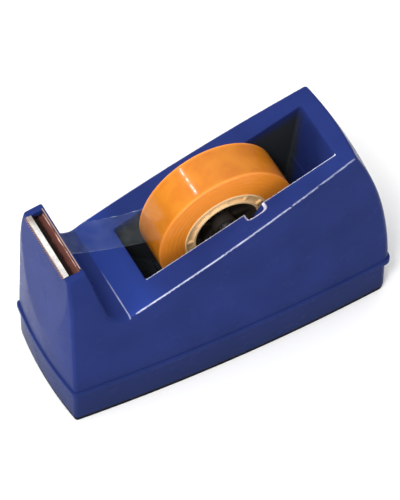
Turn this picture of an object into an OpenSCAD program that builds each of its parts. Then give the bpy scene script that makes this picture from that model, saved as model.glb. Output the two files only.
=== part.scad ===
// Weighted desk tape dispenser: a bowed, drafted casing on a base tray, a cutter in the
// nose, and a tape spool whose spindle drops into two slanted grooves of the tape well.
// X runs from the nose (-) to the tail (+), Y across, Z up, in millimetres. The origin is
// the middle of the footprint, on the surface that the dispenser stands on.

/* [Base] */
// Overall length, over the bead at the casing's lower edge
overall_l = 154.2; // [150:0.1:158]
// Half the width of the base tray at its widest place
tray_half_w = 28.3; // [27.5:0.1:29]
// Radius of the long bow of the sides, seen from above
side_bow_r = 900; // [800:10:1200]
// Where the sides are widest, along X
side_bow_x = -13.8; // [-20:0.1:0]
// Radius of the bow of the front, seen from above
front_bow_r = 175; // [150:5:220]
// Radius of the bow of the tail, seen from above
tail_bow_r = 170; // [150:5:220]
// Thickness of the foam pad underneath
pad_t = 1.6; // [1:0.1:2]
// How far the foam pad stays back from the tray's edge
pad_inset = 0.3; // [0.2:0.1:2]
// Height of the casing's lower edge
lip_z = 17.6; // [17:0.1:19]

/* [Casing] */
// Wall thickness of the moulded shells
wall = 2.2; // [1.8:0.1:2.4]
// Draft of the casing's sides, in degrees
side_draft = 3.26; // [2.8:0.02:3.6]
// Height of the bead round the casing's lower edge
lip_h = 2.6; // [2:0.1:4]
// How far the bead stands out from the casing
lip_out = 0.7; // [0.4:0.1:1]
// Slope of the deck, rising towards the tail, in degrees
deck_slope = 20.25; // [19.5:0.05:20.5]
// Height of the deck's plane above the origin
deck_z0 = 73.4; // [73:0.1:74]
// Radius of the back of the tail, seen from the side
tail_r = 168; // [164:1:172]

/* [Nose] */
// Front edge of the nose's top, along X
nose_x = -73.0; // [-73.4:0.1:-72.6]
// Height of the front edge of the nose's top
nose_z = 86.5; // [85.5:0.1:87.5]
// Length of the nose's top
nose_top_l = 8.4; // [8.2:0.1:8.8]
// Slope of the nose's top, rising backwards, in degrees
nose_slope = 9.1; // [8:0.1:10]
// Radius of the rounded shoulders of the nose, seen from the front
shoulder_r = 84; // [80:1:90]
// Radius at the bottom of the finger scoop
scoop_r = 10; // [9:0.5:11]
// Where the scoop ends and the deck begins, along X
crease_x = -48.2; // [-49:0.1:-47.5]

/* [Tape well] */
// Front edge of the well, along X
well_front_x = -35.4; // [-36:0.1:-35]
// Rear edge of the well at the deck, along X
well_rear_x = 50.7; // [50:0.1:51]
// Half the width of the well
well_half_w = 14.45; // [14.2:0.05:14.6]
// Slant of the well's rear wall, in degrees
well_rear_lean = 7.6; // [7:0.1:8]
// Radius of the well's round floor
trough_r = 42; // [41.5:0.1:42.4]

/* [Spool] */
// Spindle's place along X
spindle_x = 4.7; // [4.4:0.1:5]
// Spindle's height
spindle_z = 63.8; // [63.5:0.1:64.2]
// Outer radius of the roll of tape
roll_r = 31.15; // [24:0.05:31.2]
// Outer radius of the core
core_r = 19.5; // [18.8:0.1:20]
// Inner radius of the core
core_bore_r = 14.4; // [14:0.1:14.8]
// Width of the tape
tape_w = 18.2; // [17.6:0.1:18.4]
// Slant of the spindle grooves from upright, in degrees
groove_lean = 31; // [29:0.5:33]
// Radius of the spindle's moulded ends, which run in the grooves
end_r = 2.35; // [2.3:0.05:2.4]
// Radius of the steel spindle
pin_r = 1.5; // [1.3:0.1:1.6]

/* [Cutter] */
// Half the length of the cutter
cutter_half_l = 17.2; // [16.8:0.1:17.4]
// Distance between two teeth
tooth_pitch = 1.25; // [1:0.05:1.6]
// Depth of the teeth
tooth_depth = 1.0; // [0.6:0.1:1.2]
// Thickness of the cutter's sheet metal
sheet_t = 0.5; // [0.4:0.05:0.6]

/* [Hidden] */

blue = [0.16, 0.20, 0.50];
black = [0.10, 0.10, 0.11];
iron = [0.30, 0.30, 0.32];
steel = [0.75, 0.75, 0.77];
bronze = [0.45, 0.30, 0.26];
amber = [0.93, 0.58, 0.18];
cream = [0.90, 0.86, 0.80];
clear = [0.60, 0.70, 0.85];

// Numbers of sides with which circles are drawn
small_fn = 64;
bow_fn = 256;
// A length past everything, for cutting through
past = 200;
// How far shapes run past each other where they are joined or cut
lap = 1;
// Clearance between parts that pass each other, and a sliver for clean cuts
gap = 0.3;
eps = 0.02;

// Outlines of the casing and the tray: the tail of the tray stays back a little
casing_out = 0.4;
tray_tail_back = 1.1;
front_x = -overall_l / 2 + lip_out;
tail_x = overall_l / 2 - lip_out;
tray_front_x = front_x + casing_out;
tray_tail_x = tail_x - tray_tail_back;
tail_z = 18;
floor_z = pad_t + wall;

// Side view of the nose and the scoop
panel_foot_z = 37;
panel_lean = atan((nose_x - front_x) / (nose_z - panel_foot_z));
scoop_back_lean = 15.5;
scoop_mid = [crease_x, deck_z0 + crease_x * tan(deck_slope) + scoop_r];

// Shoulders: each leaves the drafted side at shoulder_z and rounds in towards the top
shoulder_z = 66;
shoulder_x = -66;
shoulder_end_x = -46;
shoulder_turn = asin((side_bow_x - shoulder_x) / side_bow_r);
side_w_there = tray_half_w + casing_out - pow(shoulder_x - side_bow_x, 2) / (2 * side_bow_r);
shoulder_w = side_w_there - (shoulder_z - lip_z) * tan(side_draft);
shoulder_mid = [shoulder_w - shoulder_r * cos(side_draft), shoulder_z - shoulder_r * sin(side_draft)];

// Tray: the tongue round its top edge stands inside the casing
tongue_h = 3;
tongue_t = 1.4;
tongue_out = casing_out - wall - gap;

// Spindle, hub and their grooves
groove_r = end_r + 0.2;
groove_y = 18.1;
guide_half_w = groove_r + wall;
end_y = 17.6;
end_chamfer = 0.5;
collar_y = 13.9;
pin_end_y = 15;
running_gap = 0.05;
collar_r = 3.4;
hub_r = core_bore_r - running_gap;
hub_rim_t = 2;
hub_rim_y = 7.6;
hub_web_t = 2;
hub_boss_r = 5;
hub_boss_y = 8.5;
hub_spokes = 6;
hub_spoke_t = 1.4;
hub_spoke_h = 2;
washer_r = 4.4;
washer_t = 0.5;
washer_y = hub_boss_y + gap;
core_half_w = tape_w / 2 + 0.2;
core_recess = [core_bore_r + 1.2, core_r - 1.1];
core_recess_t = 1.2;
core_ribs = 12;
core_rib_t = 1;
core_rib_back = 0.3;

// Fasteners
boss_r = 3.5;
boss_z = 9.5;
tray_boss_r = 4.4;
screw_r = 1.45;
screw_head_r = 2.8;
screw_head_z = [3.9, 6];
screw_tip_z = 19;
pilot_end_z = screw_tip_z + 2;
casing_screws_at = [[-56, 19], [60, 18]];
plate_screw_r = 2;
plate_screw_head_r = 3.8;
plate_screw_tip_z = 14;
plate_screws_at = [[-38, 14], [38, 14]];
stud_r = 1;
stud_head_r = 1.9;
stud_head_t = 1.2;
stud_y = 12;

// Ballast
plate_top_z = 16;
plate_size = [94, 44];
plate_end_size = [132, 27];
block_w = 27;
nose_block_x = [-66, -58, -39.6];
nose_block_z = [50, 60];
tail_block_x = [49.6, 65, 69];
tail_block_z = [45, 60];
nose_pad_x = [-55, -41];
nose_pad_t = 3;
tail_pad_z = [22, 40];
tail_pad_t = 2.9;

// Cutter, in the frame of the nose's top: X backwards, Z out of it. The nose is solid under
// its top, and the reaches are lengths that go past it
nose_reach = 25;
nose_solid_t = 6.5;
seat_reach = 10;
pocket_t = 2.5;
ledge_t = 0.3;
rim_t = 0.8;
blade_foot_x = 1.7;
channel_x = blade_foot_x + sheet_t;
channel_end_x = nose_top_l - rim_t;
rest_z = 0.9;

// Free stretch of tape, from the channel's rear edge to the roll
leader_t = 0.2;
leader_sag = 1.2;
leader_roll_angle = 160;

// ---- Helpers ----

function turn(a) = [cos(a), sin(a)];

// Where a line through p at angle a meets a line through q at angle b
function meet(p, a, q, b) =
    p + turn(a) * ((q[0] - p[0]) * sin(b) - (q[1] - p[1]) * cos(b)) / sin(b - a);

// A flat shape drawn in X and Z, as a slab of thickness w across Y
module side_slab(w) {
    translate([0, w / 2, 0]) rotate([90, 0, 0]) linear_extrude(height = w) children();
}

// A ring or a rod along Y, from y0 to y1
module tube_y(outer_r, inner_r, y0, y1) {
    translate([0, y1, 0]) rotate([90, 0, 0]) difference() {
        cylinder(r = outer_r, h = y1 - y0, $fn = small_fn);
        if (inner_r > 0)
            translate([0, 0, -lap])
                cylinder(r = inner_r, h = y1 - y0 + 2 * lap, $fn = small_fn);
    }
}

// The same thing on both sides of the middle
module both_sides() {
    children();
    mirror([0, 1, 0]) children();
}

module at_spindle() {
    translate([spindle_x, 0, spindle_z]) children();
}

module at_nose_top() {
    translate([nose_x, 0, nose_z]) rotate([0, -nose_slope, 0]) children();
}

// A box from one corner to the opposite one
module block(low, high) {
    translate(low) cube(high - low);
}

// Plan outline: out beyond the tray's sides, from the front's crown to the tail's crown
module plan(out, front, tail) {
    intersection() {
        translate([side_bow_x, tray_half_w + out - side_bow_r]) circle(r = side_bow_r, $fn = bow_fn);
        translate([side_bow_x, side_bow_r - tray_half_w - out]) circle(r = side_bow_r, $fn = bow_fn);
        translate([front + front_bow_r, 0]) circle(r = front_bow_r, $fn = bow_fn);
        translate([tail - tail_bow_r, 0]) circle(r = tail_bow_r, $fn = bow_fn);
    }
}

module plan_slab(out, front, tail, z0, z1) {
    translate([0, 0, z0]) linear_extrude(height = z1 - z0) plan(out, front, tail);
}

// ---- Casing ----

// Side view of the casing, d inside its skin
module side_profile(d) {
    r = scoop_r + d;
    round_top = scoop_mid - (r - eps) * turn(scoop_back_lean);
    deck_z = deck_z0 - d / cos(deck_slope);
    top_front = [nose_x, nose_z] - d * turn(90 + nose_slope);
    panel_top = [nose_x, nose_z] + d * turn(-panel_lean);
    difference() {
        polygon([
            [front_x + d, lip_z - d],
            meet(panel_top, 90 - panel_lean, [front_x + d, 0], 90),
            meet(top_front, nose_slope, panel_top, 90 - panel_lean),
            meet(top_front, nose_slope, round_top, 90 + scoop_back_lean),
            round_top,
            scoop_mid,
            [crease_x, deck_z + crease_x * tan(deck_slope)],
            [past, deck_z + past * tan(deck_slope)],
            [past, lip_z - d]
        ]);
        intersection() {
            translate(scoop_mid) circle(r = r, $fn = bow_fn);
            translate(scoop_mid - [past, past]) square([past, 2 * past]);
        }
    }
}

// One big disc for each side (s is -1 or 1): its rim is the bowed side, tilted by the draft
module side_disc(s, d) {
    translate([side_bow_x, s * (tray_half_w + casing_out), lip_z])
        rotate([s * side_draft, 0, 0])
            translate([0, -s * (side_bow_r + d), -past / 2])
                cylinder(r = side_bow_r, h = past, $fn = bow_fn);
}

// Back of the tail, round in the side view and bowed in plan
module tail_form(d) {
    translate([tail_x - tail_bow_r, 0, 0]) rotate_extrude($fn = bow_fn) intersection() {
        translate([tail_bow_r - tail_r, tail_z]) circle(r = tail_r - d, $fn = bow_fn);
        square([past, past]);
    }
}

// What the nose loses at one shoulder: the cut follows the bow of the side
module shoulder_cut(d) {
    cut_z = shoulder_mid[1] + (shoulder_r - d) * sin(side_draft);
    translate([shoulder_x, 0, 0]) rotate([0, 0, shoulder_turn]) translate([-past / 4, 0, 0])
        rotate([90, 0, 90]) linear_extrude(height = past / 4 + shoulder_end_x - shoulder_x)
            difference() {
                translate([0, cut_z]) square([past / 4, past / 2]);
                translate(shoulder_mid) circle(r = shoulder_r - d, $fn = bow_fn);
            }
}

// The casing as a full body, d inside its skin
module casing_form(d) {
    difference() {
        intersection() {
            side_slab(past / 2) side_profile(d);
            side_disc(-1, d);
            side_disc(1, d);
            translate([front_x + d + front_bow_r, 0, 0])
                cylinder(r = front_bow_r, h = past, $fn = bow_fn);
            tail_form(d);
        }
        both_sides() shoulder_cut(d);
    }
}

// Side view of the tape well, grown by g
module well_outline(g) {
    top = [well_rear_x + g / cos(well_rear_lean), deck_z0 + well_rear_x * tan(deck_slope)];
    along = past / 2 * [tan(well_rear_lean), 1];
    intersection() {
        polygon([[well_front_x - g, 0], [well_front_x - g, past], top + along, top - along]);
        union() {
            translate([spindle_x, spindle_z]) circle(r = trough_r + g, $fn = bow_fn);
            translate([-past / 2, spindle_z]) square([past, past]);
        }
    }
}

// Thick place on the outside of the well's wall, which a spindle groove is cut into
module axle_guide() {
    intersection() {
        casing_form(wall / 2);
        at_spindle() rotate([0, groove_lean, 0])
            block([-guide_half_w, well_half_w, -guide_half_w],
                  [guide_half_w, groove_y + wall, past / 4]);
    }
}

// Both grooves: one slot across the well, with a round seat at its lower end
module axle_grooves() {
    half_w = groove_r - eps;
    side_slab(2 * groove_y) translate([spindle_x, spindle_z]) {
        circle(r = groove_r, $fn = small_fn);
        rotate(-groove_lean) translate([-half_w, 0]) square([2 * half_w, past / 3]);
    }
}

// Screw pillar, from the tray's pillar up to the casing's roof
module casing_boss(at) {
    translate([at[0], at[1], boss_z])
        cylinder(r = boss_r, h = lip_z - boss_z + lap, $fn = small_fn);
    intersection() {
        translate([at[0], at[1], lip_z]) cylinder(r = boss_r, h = past / 2, $fn = small_fn);
        casing_form(wall / 2);
    }
}

// Room inside the casing, around the well and below the nose's solid top
module casing_cavity() {
    difference() {
        casing_form(wall);
        side_slab(2 * (well_half_w + wall)) well_outline(wall);
        at_nose_top() block([-nose_reach, -nose_reach, -nose_solid_t], nose_reach * [1, 1, 1]);
    }
}

// Seat of the cutter in the nose: an open ledge in front, and a pocket behind it
module cutter_seat() {
    at_nose_top() {
        block([-seat_reach, -cutter_half_l, -ledge_t], [channel_end_x, cutter_half_l, seat_reach]);
        block([blade_foot_x, -cutter_half_l, -pocket_t], [channel_end_x, cutter_half_l, seat_reach]);
        both_sides()
            translate([(channel_x + channel_end_x) / 2, stud_y, -nose_solid_t - lap])
                cylinder(r = stud_r + running_gap, h = nose_solid_t, $fn = small_fn);
    }
}

module upper_casing() {
    pilot_r = screw_r + running_gap;
    color(blue) difference() {
        union() {
            difference() {
                union() {
                    casing_form(0);
                    plan_slab(casing_out + lip_out, front_x - lip_out, tail_x + lip_out,
                              lip_z, lip_z + lip_h);
                }
                casing_cavity();
            }
            both_sides() axle_guide();
            for (at = casing_screws_at) both_sides() casing_boss(at);
        }
        side_slab(2 * well_half_w) well_outline(0);
        axle_grooves();
        for (at = casing_screws_at) both_sides()
            translate([at[0], at[1], boss_z - lap])
                cylinder(r = pilot_r, h = pilot_end_z - boss_z + lap, $fn = small_fn);
        cutter_seat();
    }
}

// ---- Base ----

// Pillar of the tray round a casing screw, with room for the screw's head below
module tray_boss(at) {
    translate([at[0], at[1], floor_z - eps])
        cylinder(r = tray_boss_r, h = boss_z - floor_z + eps, $fn = small_fn);
}

module tray_boss_bore(at) {
    translate([at[0], at[1], 0]) {
        cylinder(r = screw_head_r + gap, h = screw_head_z[1], $fn = small_fn);
        cylinder(r = screw_r + gap, h = past, $fn = small_fn);
    }
}

module base_tray() {
    inner = tongue_out - tongue_t;
    color(blue) difference() {
        union() {
            difference() {
                plan_slab(0, tray_front_x, tray_tail_x, pad_t, lip_z);
                plan_slab(-wall, tray_front_x + wall, tray_tail_x - wall, floor_z, lip_z + lap);
            }
            difference() {
                union() {
                    plan_slab(-wall / 2, tray_front_x + wall / 2, tray_tail_x - wall / 2,
                              lip_z - tongue_h, lip_z);
                    plan_slab(tongue_out, front_x - tongue_out + casing_out,
                              tail_x + tongue_out - casing_out, lip_z - tongue_h, lip_z + tongue_h);
                }
                plan_slab(inner, front_x - inner + casing_out, tail_x + inner - casing_out,
                          0, past);
            }
            for (at = casing_screws_at) both_sides() tray_boss(at);
        }
        for (at = casing_screws_at) both_sides() tray_boss_bore(at);
        for (at = plate_screws_at) both_sides()
            translate([at[0], at[1], pad_t])
                cylinder(r1 = plate_screw_head_r, r2 = plate_screw_r + running_gap, h = wall,
                         $fn = small_fn);
    }
}

module foot_pad() {
    color(black)
        plan_slab(-pad_inset, tray_front_x + pad_inset, tray_tail_x - pad_inset, 0, pad_t);
}

// Four identical screws that hold the tray to the casing's pillars
module casing_screws() {
    color(steel) for (at = casing_screws_at) both_sides() translate([at[0], at[1], 0]) {
        translate([0, 0, screw_head_z[0]])
            cylinder(r = screw_head_r, h = screw_head_z[1] - screw_head_z[0], $fn = small_fn);
        translate([0, 0, screw_head_z[0]])
            cylinder(r = screw_r, h = screw_tip_z - screw_head_z[0], $fn = small_fn);
    }
}

// ---- Ballast ----

module ballast_floor_plate() {
    color(iron) translate([0, 0, floor_z]) difference() {
        linear_extrude(height = plate_top_z - floor_z) {
            square(plate_size, center = true);
            square(plate_end_size, center = true);
        }
        for (at = plate_screws_at) both_sides()
            translate([at[0], at[1], -lap])
                cylinder(r = plate_screw_r + running_gap, h = past, $fn = small_fn);
    }
}

module ballast_nose_block() {
    x = nose_block_x;
    z = nose_block_z;
    color(iron) side_slab(block_w) polygon([
        [x[0], plate_top_z], [x[2], plate_top_z], [x[2], z[0]], [x[1], z[0]], [x[0], z[1]]
    ]);
}

module ballast_tail_block() {
    x = tail_block_x;
    z = tail_block_z;
    color(iron) side_slab(block_w) polygon([
        [x[0], plate_top_z], [x[2], plate_top_z], [x[2], z[0]], [x[1], z[1]], [x[0], z[1]]
    ]);
}

// Foam that keeps the two blocks from rattling: one on the nose block, one behind the other
module ballast_foam_pads() {
    color(black) {
        block([nose_pad_x[0], -block_w / 2, nose_block_z[0]],
              [nose_pad_x[1], block_w / 2, nose_block_z[0] + nose_pad_t]);
        block([tail_block_x[2], -block_w / 2, tail_pad_z[0]],
              [tail_block_x[2] + tail_pad_t, block_w / 2, tail_pad_z[1]]);
    }
}

// Four countersunk screws that hold the ballast plate to the tray
module ballast_screws() {
    color(steel) for (at = plate_screws_at) both_sides() translate([at[0], at[1], pad_t]) {
        cylinder(r1 = plate_screw_head_r - running_gap, r2 = plate_screw_r, h = wall, $fn = small_fn);
        cylinder(r = plate_screw_r, h = plate_screw_tip_z - pad_t, $fn = small_fn);
    }
}

// ---- Cutter ----

// Folded sheet between the blade and the rim: its rear edge carries the tape
module blade_channel() {
    half_l = cutter_half_l - running_gap;
    color(bronze) at_nose_top() difference() {
        union() {
            block([channel_x, -half_l, -pocket_t], [channel_end_x, half_l, sheet_t - ledge_t]);
            block([channel_end_x - sheet_t, -half_l, -pocket_t], [channel_end_x, half_l, rest_z]);
        }
        block([channel_x + sheet_t, -half_l - lap, sheet_t - pocket_t],
              [channel_end_x - sheet_t, half_l + lap, seat_reach]);
    }
}

// Serrated strip on the nose's front edge, with a flange down in front of the channel
module cutting_blade() {
    half_l = cutter_half_l - running_gap;
    teeth = floor(2 * half_l / tooth_pitch);
    pitch = 2 * half_l / teeth;
    zigzag = [for (i = [0 : 2 * teeth])
        [i % 2 == 0 ? 0 : -tooth_depth, -half_l + i * pitch / 2]];
    color(steel) at_nose_top() {
        translate([0, 0, -ledge_t]) linear_extrude(height = sheet_t)
            polygon(concat(zigzag, [[channel_x, half_l], [channel_x, -half_l]]));
        block([blade_foot_x, -half_l, -pocket_t], [channel_x, half_l, -ledge_t + eps]);
    }
}

// Two studs with round heads, from under the nose's solid top up to the channel's floor
module blade_screws() {
    color(steel) at_nose_top() both_sides()
        translate([(channel_x + channel_end_x) / 2, stud_y, -nose_solid_t]) {
            cylinder(r = stud_r, h = nose_solid_t - pocket_t, $fn = small_fn);
            translate([0, 0, -stud_head_t]) cylinder(r = stud_head_r, h = stud_head_t, $fn = small_fn);
        }
}

// ---- Tape ----

// Free stretch of tape: a thin arc that hangs a little between the cutter and the roll
module tape_leader() {
    start = [nose_x, nose_z] + (channel_end_x + running_gap) * turn(nose_slope)
        + (rest_z + leader_t / 2) * turn(nose_slope + 90);
    end = [spindle_x, spindle_z] + (roll_r + gap) * turn(leader_roll_angle);
    span = norm(end - start);
    slope = atan2(end[1] - start[1], end[0] - start[0]);
    bend_r = span * span / (8 * leader_sag) + leader_sag / 2;
    color(clear) side_slab(tape_w) translate(start) rotate(slope) intersection() {
        translate([span / 2, bend_r - leader_sag]) difference() {
            circle(r = bend_r + leader_t / 2, $fn = bow_fn);
            circle(r = bend_r - leader_t / 2, $fn = bow_fn);
        }
        translate([0, -2 * leader_sag]) square([span, 3 * leader_sag]);
    }
}

// Wound tape: an annular body on the core
module tape_winding() {
    color(amber) at_spindle() tube_y(roll_r, core_r, -tape_w / 2, tape_w / 2);
}

// Moulded core: a ring with a shallow ribbed recess in each face
module tape_core() {
    floor_y = core_half_w - core_recess_t;
    color(cream) at_spindle() {
        difference() {
            tube_y(core_r, core_bore_r, -core_half_w, core_half_w);
            both_sides() tube_y(core_recess[1], core_recess[0], floor_y, core_half_w + lap);
        }
        both_sides() for (i = [0 : core_ribs - 1]) rotate([0, i * 360 / core_ribs, 0])
            block([core_recess[0] - eps, floor_y - eps, -core_rib_t / 2],
                  [core_recess[1] + eps, core_half_w - core_rib_back, core_rib_t / 2]);
    }
}

// ---- Spool ----

// One half of the hub: rim, web, spokes and boss, on the side that side says
module hub_half(side) {
    color(black) at_spindle() mirror([0, side > 0 ? 0 : 1, 0]) difference() {
        union() {
            tube_y(hub_r, hub_r - hub_rim_t, 0, hub_rim_y);
            tube_y(hub_r - eps, 0, 0, hub_web_t);
            tube_y(hub_boss_r, 0, 0, hub_boss_y);
            for (i = [0 : hub_spokes - 1]) rotate([0, i * 360 / hub_spokes, 0])
                block([hub_boss_r - lap, 0, -hub_spoke_t / 2],
                      [hub_r - lap, hub_web_t + hub_spoke_h, hub_spoke_t / 2]);
        }
        tube_y(pin_r + running_gap, 0, -lap, pin_end_y);
    }
}

module hub_near_half() {
    hub_half(-1);
}

module hub_far_half() {
    hub_half(1);
}

module axle_pin() {
    color(steel) at_spindle() tube_y(pin_r, 0, -pin_end_y, pin_end_y);
}

// End of the spindle: a collar beside the hub, a round end for the groove, and a blind bore
module axle_cap(side) {
    color(black) at_spindle() mirror([0, side > 0 ? 0 : 1, 0]) difference() {
        union() {
            tube_y(collar_r, 0, washer_y + washer_t, collar_y);
            tube_y(end_r, 0, collar_y - lap, end_y - end_chamfer);
            translate([0, end_y - end_chamfer, 0]) rotate([-90, 0, 0])
                cylinder(r1 = end_r, r2 = end_r - end_chamfer, h = end_chamfer, $fn = small_fn);
        }
        tube_y(pin_r, 0, 0, pin_end_y);
    }
}

module axle_cap_near() {
    axle_cap(-1);
}

module axle_cap_far() {
    axle_cap(1);
}

// One washer on each side, between the hub's boss and the collar of the spindle's end
module thrust_washers() {
    color(steel) at_spindle() both_sides()
        tube_y(washer_r, pin_r + running_gap / 2, washer_y, washer_y + washer_t);
}

upper_casing();
base_tray();
foot_pad();
casing_screws();
ballast_floor_plate();
ballast_nose_block();
ballast_tail_block();
ballast_foam_pads();
ballast_screws();
blade_channel();
cutting_blade();
blade_screws();
tape_leader();
axle_pin();
axle_cap_near();
axle_cap_far();
thrust_washers();
hub_near_half();
hub_far_half();
tape_core();
tape_winding();
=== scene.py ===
"""Weighted desk tape dispenser: bowed blue casing, base tray, cutter, and a roll of amber tape."""

import math

import bpy
import numpy as np
from mathutils import Matrix, Vector


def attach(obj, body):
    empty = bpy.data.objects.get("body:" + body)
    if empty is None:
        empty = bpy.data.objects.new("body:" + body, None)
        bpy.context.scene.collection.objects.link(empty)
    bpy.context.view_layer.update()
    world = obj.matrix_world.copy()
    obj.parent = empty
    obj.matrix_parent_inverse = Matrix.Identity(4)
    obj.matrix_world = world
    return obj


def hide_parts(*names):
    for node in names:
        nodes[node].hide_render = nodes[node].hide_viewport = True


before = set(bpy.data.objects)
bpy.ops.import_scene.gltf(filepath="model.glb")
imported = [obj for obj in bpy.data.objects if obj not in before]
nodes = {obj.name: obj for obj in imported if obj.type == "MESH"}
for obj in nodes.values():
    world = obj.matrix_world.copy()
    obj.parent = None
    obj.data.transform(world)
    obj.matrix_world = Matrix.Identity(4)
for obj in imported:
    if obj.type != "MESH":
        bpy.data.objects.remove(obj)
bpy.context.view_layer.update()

MM = 0.001

# ---- Sizes, in millimetres, in the frame of the CAD model ----

# Foot pad, tray and the bead round the casing's lower edge
PAD_T = 1.6
PAD_INSET = 0.3
PAD_CORNER_R = 1.2
LIP_Z = 17.6
LIP_H = 2.6
LIP_OUT = 0.7
WALL = 2.2
TRAY_HALF_W = 28.3
TRAY_TAIL_BACK = 1.1
TONGUE_T = 1.4
TONGUE_H = 3.0
TONGUE_GAP = 0.3
CASING_OUT = 0.4

# Screw pillars, on both sides of the middle plane
BOSS_R = 3.5
BOSS_Z = 9.5
TRAY_BOSS_R = 4.4
BOSSES = ((-56.0, 19.0), (60.0, 18.0))

# Bowed sides, front and tail
SIDE_BOW_X = -13.8
SIDE_BOW_R = 900.0
FRONT_BOW_R = 175.0
TAIL_BOW_R = 170.0
TAIL_R = 168.0
TAIL_Z = 18.0
FRONT_X = -76.4
TAIL_X = 76.4
SIDE_DRAFT = math.tan(math.radians(3.26))
FRONT_CORNER_R = 1.3
TRAY_CORNER_R = 1.4
TAIL_CORNER_R = 2.6
TAIL_TOP_CORNER_R = 1.0

# Deck, nose and finger scoop
DECK_Z0 = 73.4
DECK_SLOPE = math.radians(20.25)
NOSE_X = -73.0
NOSE_Z = 86.5
NOSE_SLOPE = math.radians(9.1)
PANEL_FOOT_Z = 37.0
CORNER_LOW_X = -74.2
SHOULDER_Z = 66.0
SHOULDER_R = 84.0
SHOULDER_END_X = -40.0
SCOOP_R = 10.0
CREASE_X = -48.2
CREASE_R = 0.25
SCOOP_LEAN = math.radians(15.5)
NOSE_REAR_R = 0.5
TOP_EDGE_R = 0.75
SCOOP_EDGE_R = 2.35

# Tape well
WELL_FRONT_X = -35.4
WELL_REAR_X = 50.7
WELL_HALF_W = 14.45
WELL_REAR_LEAN = math.radians(7.6)
TROUGH_R = 42.0
TROUGH_BLEND = 2.0
WELL_CORNER_R = 1.0
WELL_RIM_R = 0.5

# Spindle and its grooves
SPINDLE_X = 4.7
SPINDLE_Z = 63.8
GROOVE_R = 2.55
GROOVE_Y = 18.1
GROOVE_END_R = 1.6
GROOVE_RIM_R = 0.35
GROOVE_LEAN = math.radians(31.0)
GUIDE_HALF_W = GROOVE_R + WALL

# Roll of tape
ROLL_R = 31.15
CORE_R = 19.5
CORE_BORE_R = 14.4
TAPE_W = 18.2

# Seat of the cutter in the nose's top
CUTTER_HALF_L = 17.2
POCKET_END = 7.6
POCKET_T = 2.5
POCKET_RIM_R = 0.15
LEDGE_T = 0.3
BLADE_FOOT = 1.7
SHEET_T = 0.5
NOSE_BLOCK_T = 6.5


# ---- Fields: negative inside a form, in millimetres ----

def round_meet(a, b, r):
    """Both forms at once, with the edge between them rounded to radius r."""
    corner = np.hypot(np.maximum(a + r, 0), np.maximum(b + r, 0))
    return np.minimum(-r, np.maximum(a, b)) + corner


def soft_join(a, b, r):
    """Either form, with the corner between them filled over about r."""
    near = np.clip(1 - np.abs(a - b) / r, 0, 1)
    return np.minimum(a, b) - near ** 2 * r / 4


def smooth_step(low, high, v):
    t = np.clip((v - low) / (high - low), 0, 1)
    return t * t * (3 - 2 * t)


def side_half_w(x, z):
    """Half the casing's width: bowed along X, drafted, and rounded in at the nose's shoulders."""
    w = TRAY_HALF_W + CASING_OUT - (x - SIDE_BOW_X) ** 2 / (2 * SIDE_BOW_R)
    w = w - (z - LIP_Z) * SIDE_DRAFT
    over = np.clip(z - SHOULDER_Z, 0, None)
    draft = math.atan(SIDE_DRAFT)
    line = SHOULDER_R * math.cos(draft) - over * SIDE_DRAFT
    arc = np.sqrt(SHOULDER_R ** 2 - (over + SHOULDER_R * math.sin(draft)) ** 2)
    return w - np.where(x < SHOULDER_END_X, line - arc, 0)


def front_field(x, y, z, half_w):
    """Bowed front, with a flatter panel that leans back from a round foot."""
    panel = FRONT_X + (z - PANEL_FOOT_Z) * (NOSE_X - FRONT_X) / (NOSE_Z - PANEL_FOOT_Z)
    corner = CORNER_LOW_X + (NOSE_X - CORNER_LOW_X) * (z - LIP_Z) / (NOSE_Z - LIP_Z)
    bow = FRONT_X + (corner - FRONT_X) * (y / half_w) ** 2
    blend = 0.12
    return (panel + bow + np.sqrt((panel - bow) ** 2 + blend ** 2)) / 2 - x


def tail_field(x, y, z):
    """Tail: round in the side view and bowed in plan."""
    reach = np.hypot(x - (TAIL_X - TAIL_BOW_R), y)
    return np.hypot(reach - (TAIL_BOW_R - TAIL_R), np.maximum(z - TAIL_Z, 0)) - TAIL_R


def deck_z(x):
    return DECK_Z0 + x * math.tan(DECK_SLOPE)


def scoop_air(x, z):
    """The open space behind the nose and above the deck."""
    dx = x - CREASE_X
    dz = z - (deck_z(CREASE_X) + SCOOP_R)
    back = -(dx * math.cos(SCOOP_LEAN) + dz * math.sin(SCOOP_LEAN) + SCOOP_R)
    floor = -(dz + SCOOP_R)
    down_the_back = dx * math.sin(SCOOP_LEAN) - dz * math.cos(SCOOP_LEAN)
    in_bend = (down_the_back > 0) & (dx < 0)
    scoop = np.where(in_bend, np.hypot(dx, dz) - SCOOP_R, np.maximum(back, floor))
    deck = (deck_z(x) - z) * math.cos(DECK_SLOPE)
    return round_meet(scoop, deck, CREASE_R)


def nose_local(x, z):
    """Place in the frame of the nose's top: backwards along it, and out of it."""
    dx = x - NOSE_X
    dz = z - NOSE_Z
    along = dx * math.cos(NOSE_SLOPE) + dz * math.sin(NOSE_SLOPE)
    out = dz * math.cos(NOSE_SLOPE) - dx * math.sin(NOSE_SLOPE)
    return along, out


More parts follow.
